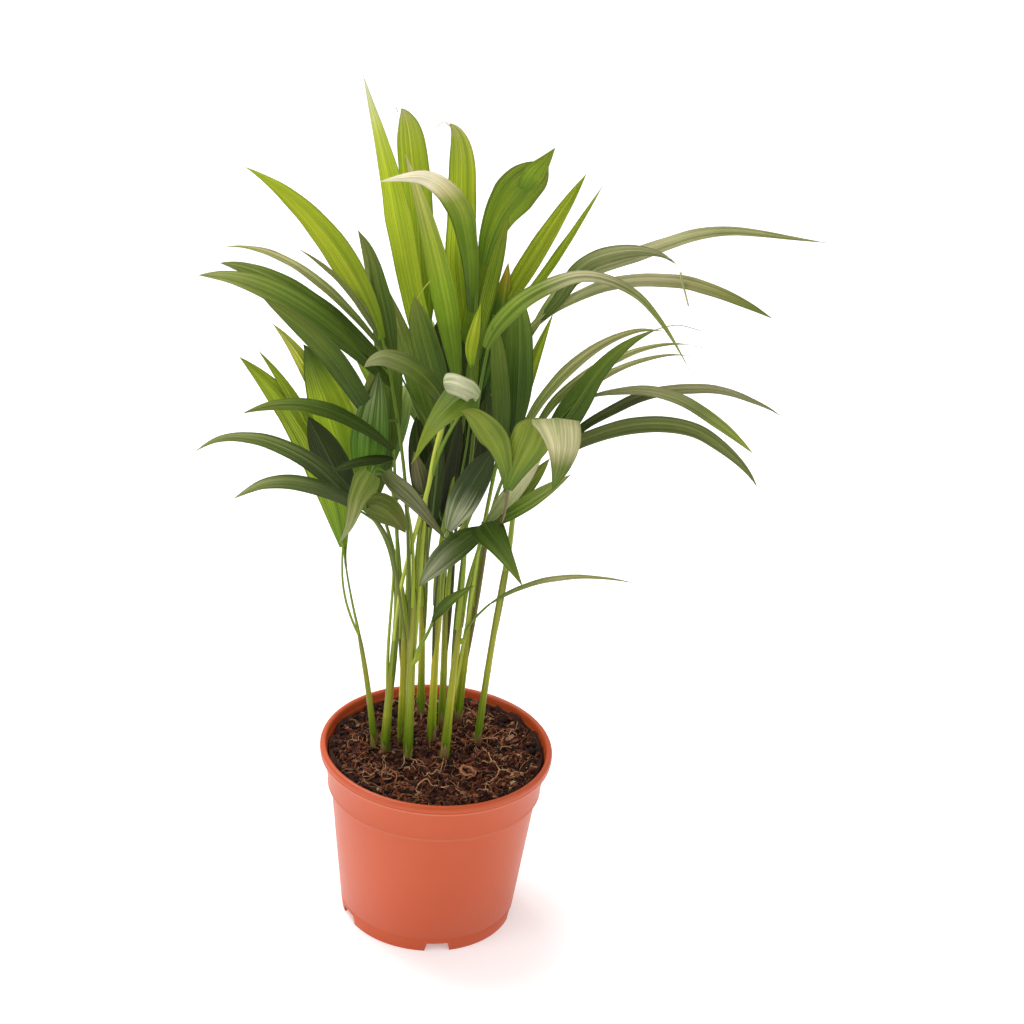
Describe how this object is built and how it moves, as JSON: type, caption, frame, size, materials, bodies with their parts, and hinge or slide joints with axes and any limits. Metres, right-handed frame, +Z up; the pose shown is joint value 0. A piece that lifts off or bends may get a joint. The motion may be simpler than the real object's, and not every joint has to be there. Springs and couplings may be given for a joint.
{
  "type": "potted areca palm",
  "caption": "Young feather palm: a clump of slender stems with arching, split fronds, growing in soil in a round tapered plastic nursery pot that stands on the floor.",
  "frame": {"origin": "on the ground, at the middle of the box round the whole plant, with the foot of the pot on z = 0", "axes": "+Z up along the stems, +X to the viewer's right and +Y away from the viewer of the picture"},
  "size_m": [0.296, 0.236, 0.4449],
  "materials": {
    "pot": "satin",
    "soil": "rough",
    "stem": "satin",
    "frond": "satin"
  },
  "bodies": {
    "root": {"pot": "pot", "soil": "soil", "stem_1": "stem", "frond_left_split": "frond", "stem_2": "stem", "frond_left_middle": "frond", "frond_left_dark": "frond", "stem_3": "stem", "frond_left_upper": "frond", "frond_left_striped": "frond", "frond_rear_left": "frond", "stem_4": "stem", "frond_front_upper": "frond", "frond_left_low": "frond", "leaf_low_dark": "frond", "stem_5": "stem", "frond_tall": "frond", "frond_centre_left": "frond", "frond_rear_middle": "frond", "stem_6": "stem", "frond_high": "frond", "frond_centre_dark": "frond", "frond_low_silver": "frond", "stem_7": "stem", "frond_right_rear": "frond", "frond_centre_back": "frond", "frond_rear_right": "frond", "stem_8": "stem", "frond_right_arch": "frond", "frond_low_centre": "frond", "leaf_low_thin": "frond", "stem_9": "stem", "frond_right_long": "frond", "frond_front": "frond", "stem_10": "stem", "frond_right_middle": "frond"}
  },
  "joints": []
}
